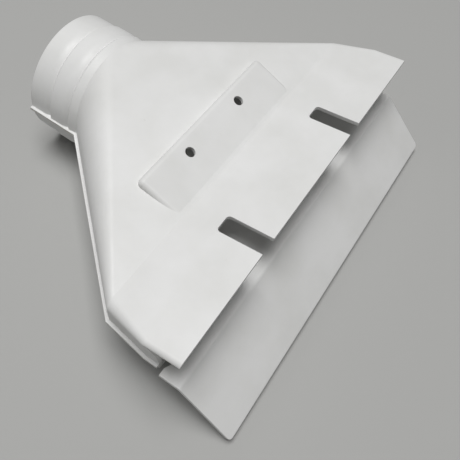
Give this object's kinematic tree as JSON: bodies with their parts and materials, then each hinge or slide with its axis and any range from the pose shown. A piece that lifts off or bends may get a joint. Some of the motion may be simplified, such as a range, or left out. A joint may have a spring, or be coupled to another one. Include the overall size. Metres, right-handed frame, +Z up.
{
  "type": "cowl vent",
  "caption": "Flat fan-shaped air duct vent with a round ringed hose collar, a wide low mouth, a raised screw pad and a turned-down lip.",
  "frame": {"origin": "centre of the hose collar's open rim, on the split plane between the two shells", "axes": "+Y along the collar's axis towards the mouth, +Z up out of the split plane on the screw pad's side, +X across the vent"},
  "size_m": [0.25, 0.2085, 0.0774],
  "materials": {
    "white_abs": "satin",
    "seam_cement": "gloss"
  },
  "bodies": {
    "root": {"upper_shell": "white_abs", "lower_shell": "white_abs", "seam_cement_left": "seam_cement", "seam_cement_right": "seam_cement"}
  },
  "joints": []
}
